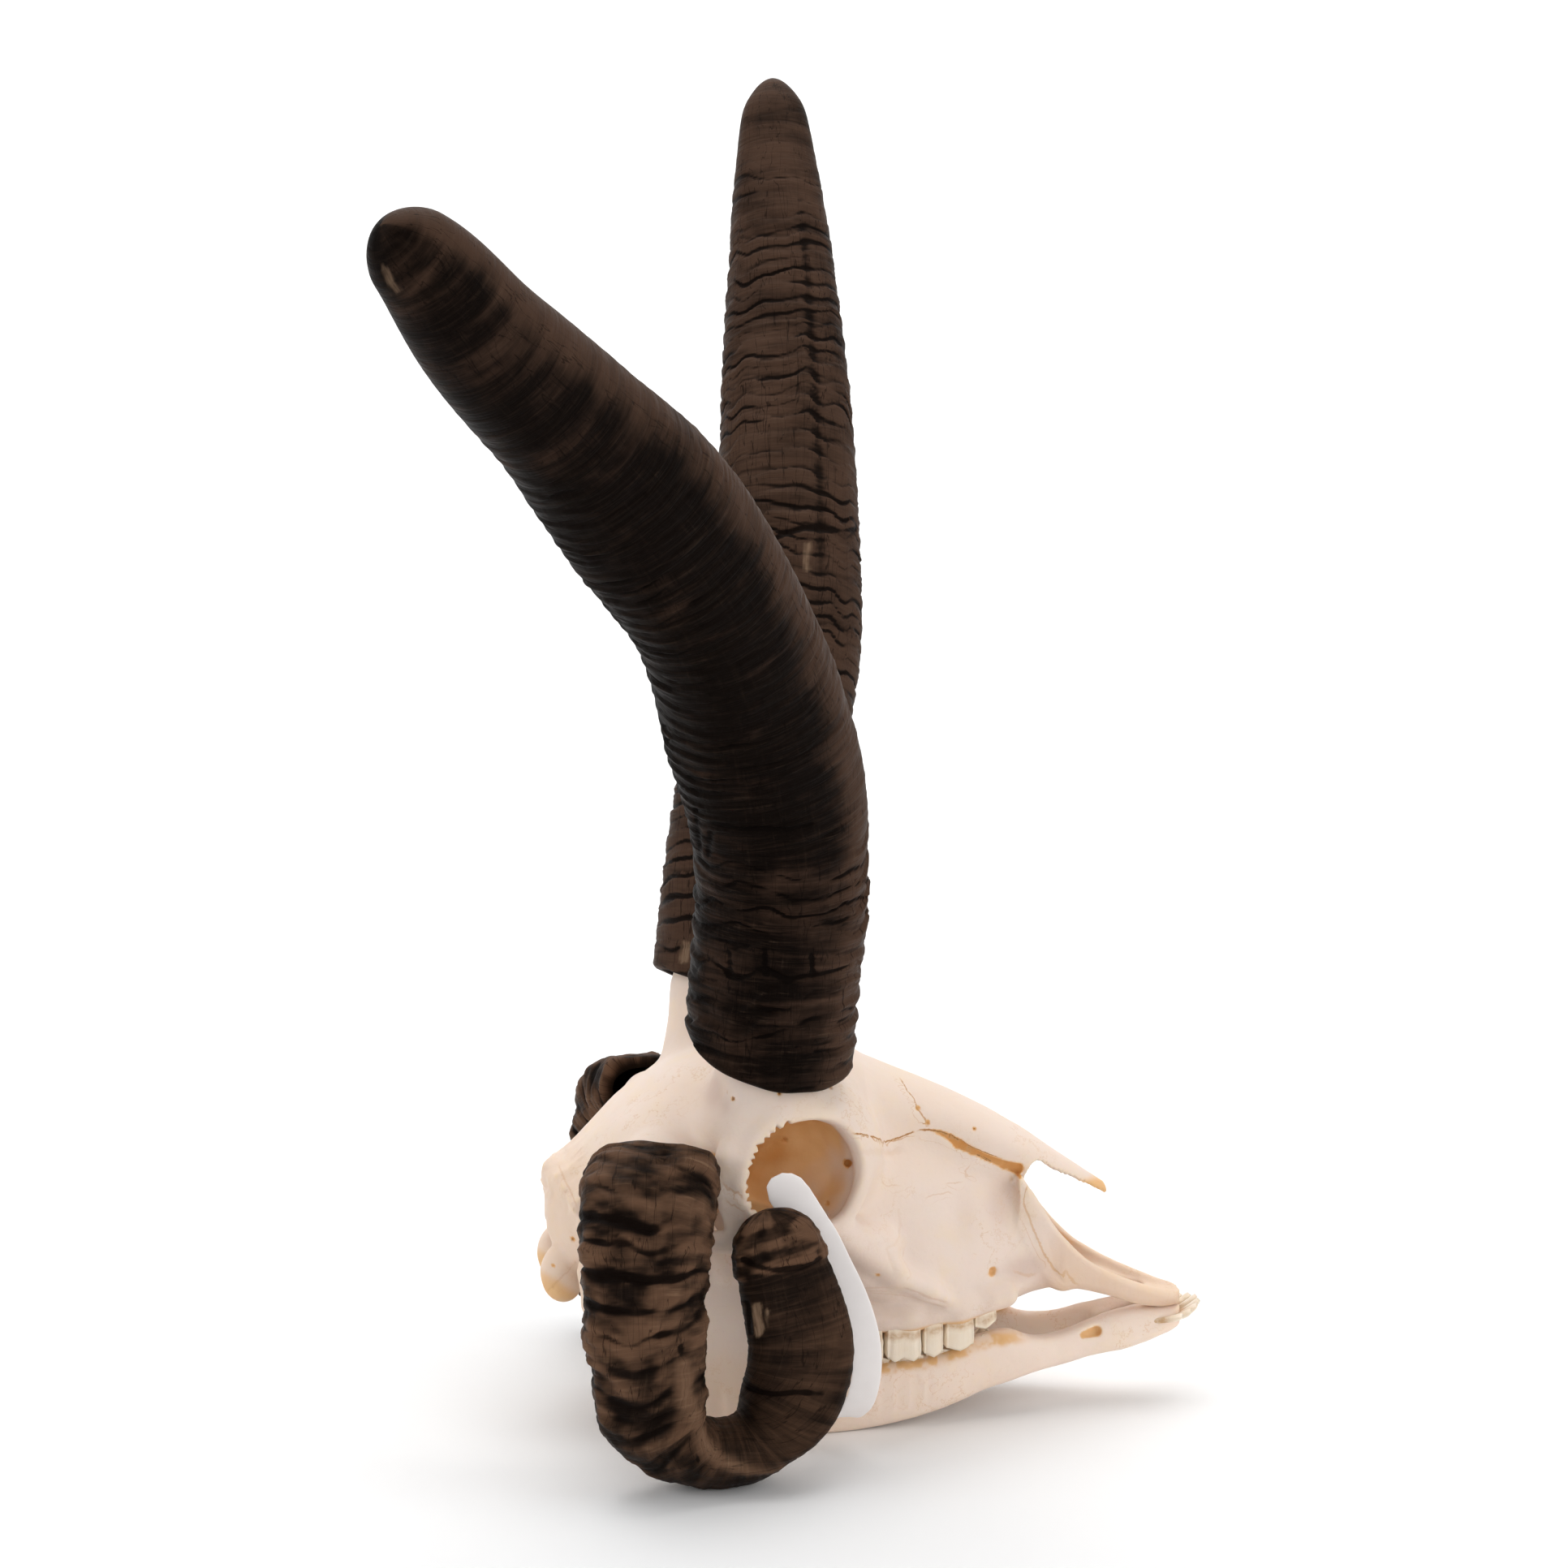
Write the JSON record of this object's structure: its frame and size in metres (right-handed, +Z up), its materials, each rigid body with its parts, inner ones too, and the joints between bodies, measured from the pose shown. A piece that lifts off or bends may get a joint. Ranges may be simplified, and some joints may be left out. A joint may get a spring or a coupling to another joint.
{
  "type": "four-horned sheep skull",
  "caption": "Weathered skull of a four-horned ram with lower jaw, two upright horns and two curled side horns, and a plain tag strap round the cheek bone.",
  "frame": {"origin": "middle of the bounding box, on the plane that the skull stands on", "axes": "+X towards the nose, +Y towards the animal's left, +Z up"},
  "size_m": [0.3019, 0.3986, 0.4882],
  "materials": {
    "bone": "dry bleached bone, matt, cream with warmer seams",
    "enamel": "tooth enamel, slightly glossy, ivory with darker roots",
    "upper_horn": "black-brown keratin with fine rings, satin",
    "lower_horn": "black-brown keratin with coarse wavy ridges, satin",
    "strap": "white plastic band, plain"
  },
  "bodies": {
    "root": {"cranium": "bone", "left_jaw": "bone", "right_jaw": "bone", "left_upper_horn": "upper_horn", "right_upper_horn": "upper_horn", "left_lower_horn": "lower_horn", "right_lower_horn": "lower_horn", "left_upper_cheek_tooth_1": "enamel", "left_upper_cheek_tooth_2": "enamel", "left_upper_cheek_tooth_3": "enamel", "left_upper_cheek_tooth_4": "enamel", "left_upper_cheek_tooth_5": "enamel", "left_upper_cheek_tooth_6": "enamel", "right_upper_cheek_tooth_1": "enamel", "right_upper_cheek_tooth_2": "enamel", "right_upper_cheek_tooth_3": "enamel", "right_upper_cheek_tooth_4": "enamel", "right_upper_cheek_tooth_5": "enamel", "right_upper_cheek_tooth_6": "enamel", "left_lower_cheek_tooth_1": "enamel", "left_lower_cheek_tooth_2": "enamel", "left_lower_cheek_tooth_3": "enamel", "left_lower_cheek_tooth_4": "enamel", "left_lower_cheek_tooth_5": "enamel", "left_lower_cheek_tooth_6": "enamel", "right_lower_cheek_tooth_1": "enamel", "right_lower_cheek_tooth_2": "enamel", "right_lower_cheek_tooth_3": "enamel", "right_lower_cheek_tooth_4": "enamel", "right_lower_cheek_tooth_5": "enamel", "right_lower_cheek_tooth_6": "enamel", "left_incisor_1": "enamel", "left_incisor_2": "enamel", "left_incisor_3": "enamel", "left_incisor_4": "enamel", "right_incisor_1": "enamel", "right_incisor_2": "enamel", "right_incisor_3": "enamel", "right_incisor_4": "enamel", "strap": "strap"}
  },
  "joints": []
}
